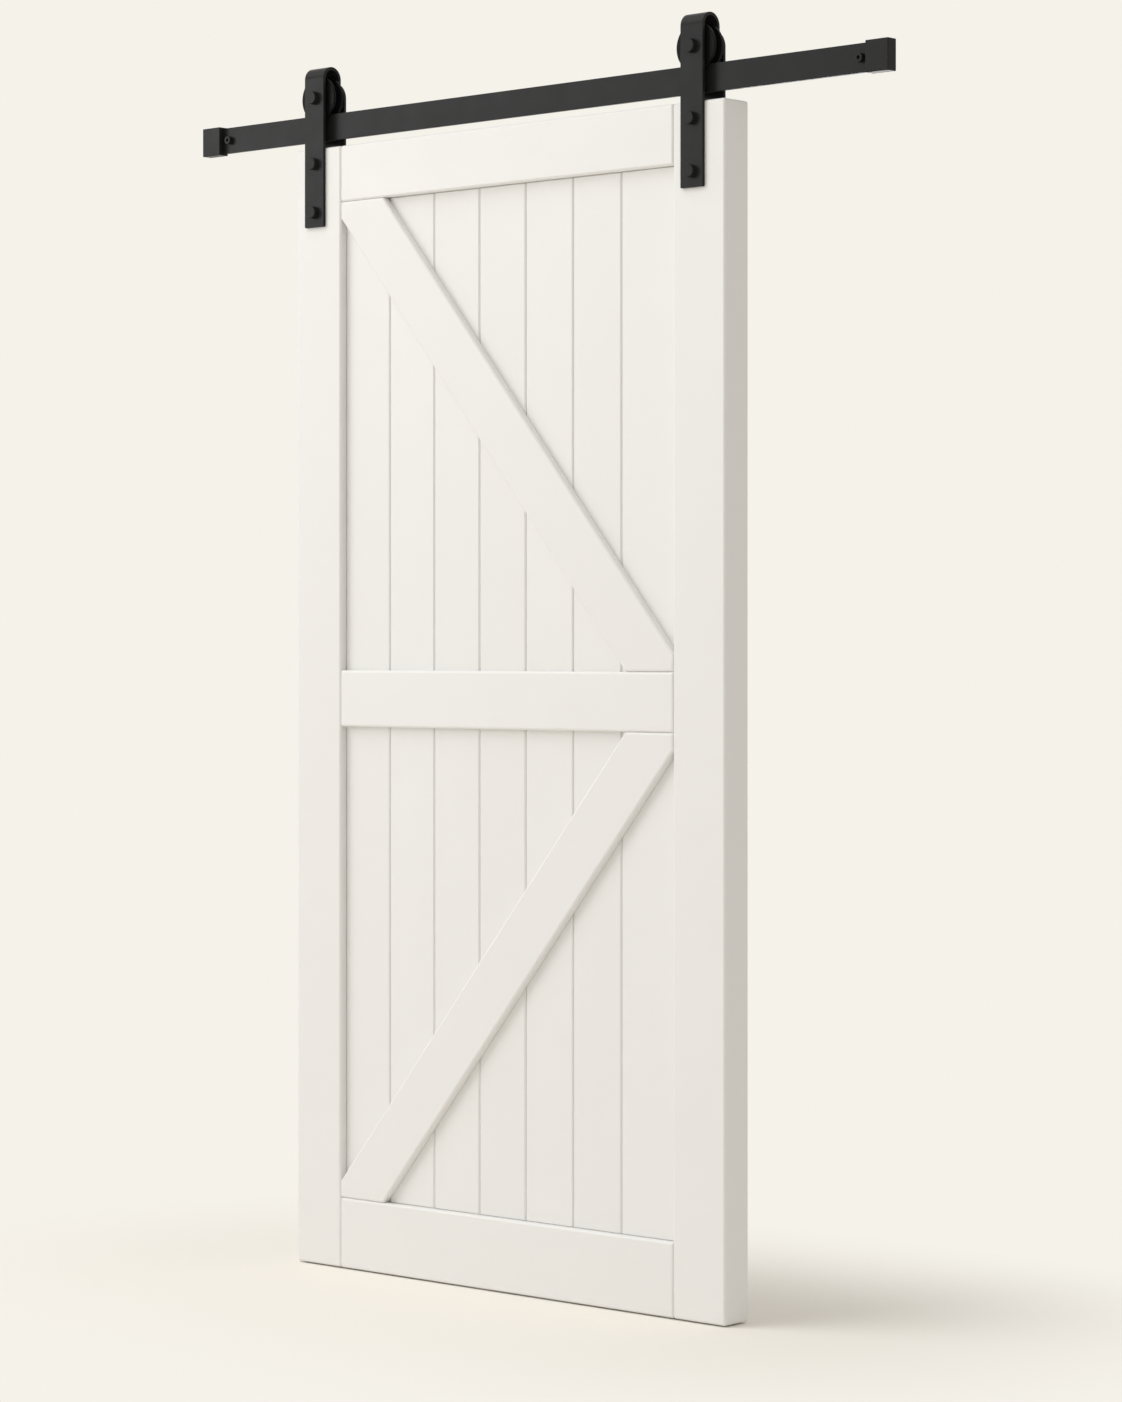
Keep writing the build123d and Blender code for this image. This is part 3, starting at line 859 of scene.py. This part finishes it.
def floor_material():
    material, tree, shader = new_material("pale floor")
    link = tree.links.new
    shader.inputs["Base Color"].default_value = FLOOR_COLOUR
    shader.inputs["Roughness"].default_value = FLOOR_ROUGHNESS
    shader.inputs["Specular IOR Level"].default_value = 0.0
    glow = add_node(tree, "ShaderNodeEmission")
    glow.inputs["Color"].default_value = GROUND_COLOUR
    place = add_node(tree, "ShaderNodeTexCoord")
    nearest = add_node(tree, "ShaderNodeVectorMath", operation="MINIMUM")
    nearest.inputs[1].default_value = leaf_high
    on_leaf = add_node(tree, "ShaderNodeVectorMath", operation="MAXIMUM")
    on_leaf.inputs[1].default_value = (leaf_low.x, leaf_low.y, floor_z)
    away = add_node(tree, "ShaderNodeVectorMath", operation="DISTANCE")
    both = add_node(tree, "ShaderNodeMath", operation="MULTIPLY")
    mix = add_node(tree, "ShaderNodeMixShader")
    link(place.outputs["Object"], nearest.inputs[0])
    link(nearest.outputs[0], on_leaf.inputs[0])
    link(place.outputs["Object"], away.inputs[0])
    link(on_leaf.outputs[0], away.inputs[1])
    fade = map_range(tree, away.outputs["Value"], FADE_RANGE, interpolation_type="SMOOTHSTEP")
    link(fade, both.inputs[0])
    link(seen_ray(tree), both.inputs[1])
    link(both.outputs[0], mix.inputs["Fac"])
    link(shader.outputs["BSDF"], mix.inputs[1])
    link(glow.outputs["Emission"], mix.inputs[2])
    link(mix.outputs["Shader"], tree.nodes["Material Output"].inputs["Surface"])
    return material


corner_signs = ((-1, -1), (1, -1), (1, 1), (-1, 1))
floor_corners = [(x * FLOOR_REACH, y * FLOOR_REACH, floor_z) for x, y in corner_signs]
floor_mesh = bpy.data.meshes.new("floor")
floor_mesh.from_pydata(floor_corners, [], [(0, 1, 2, 3)])
floor_mesh.materials.append(floor_material())
floor = new_piece("floor", floor_mesh)
print("floor", round(FLOOR_GAP / MM, 1), "mm under the door")

# %% [markdown]
# Soft, even light from all round fills the studio. A large key lamp high on the left in front of the
# door gives the face its lift over the edge, and a weaker, lower lamp on the same side lights the top
# of the face. A weak lamp behind the door keeps its back from going grey. It stands low, so that it
# hardly lightens the shadow on the floor. The ground that the camera sees is a plain colour of its
# own, so its paleness needs no more light on the door.

# %% Light
FILL_COLOUR = (1.0, 0.978, 0.940, 1.0)
FILL_STRENGTH = 0.60
LAMP_COLOUR = (0.99, 1.0, 1.015)
# Each lamp has its place and its aim, both from the middle of the door's front bottom edge, then its
# width and height, and its power.
LAMPS = {
    "key lamp": (Vector((-4.8, -5.7, 10.4)), Vector((0.0, 0.0, 1.0)), (9.0, 9.0), 570.0),
    "front lamp": (Vector((-4.6, -4.4, 3.1)), Vector((0.0, 0.0, 2.0)), (4.0, 1.2), 80.0),
    "back lamp": (Vector((-3.0, 8.0, 1.2)), Vector((0.0, 0.0, 1.2)), (5.0, 1.4), 80.0),
}

world = bpy.data.worlds.new("studio")
world.use_nodes = True
scene.world = world
tree = world.node_tree
fill = tree.nodes["Background"]
fill.inputs["Color"].default_value = FILL_COLOUR
fill.inputs["Strength"].default_value = FILL_STRENGTH
ground = add_node(tree, "ShaderNodeBackground")
ground.inputs["Color"].default_value = GROUND_COLOUR
ground.inputs["Strength"].default_value = 1.0
choose = add_node(tree, "ShaderNodeMixShader")
tree.links.new(seen_ray(tree), choose.inputs["Fac"])
tree.links.new(fill.outputs["Background"], choose.inputs[1])
tree.links.new(ground.outputs["Background"], choose.inputs[2])
tree.links.new(choose.outputs["Shader"], tree.nodes["World Output"].inputs["Surface"])

for name, (place, aim, size, power) in LAMPS.items():
    lamp = bpy.data.objects.new(name, bpy.data.lights.new(name, "AREA"))
    scene.collection.objects.link(lamp)
    lamp.data.shape = "RECTANGLE"
    lamp.data.size, lamp.data.size_y = size
    lamp.data.energy = power
    lamp.data.color = LAMP_COLOUR
    lamp.visible_camera = False
    lamp.location = door_middle + place
    lamp.rotation_euler = (aim - place).to_track_quat("-Z", "Y").to_euler()
    print(name, "at", tuple(round(v, 2) for v in lamp.location))

# %% [markdown]
# The last cell says that the script has finished.

# %% Finish
print("finished")
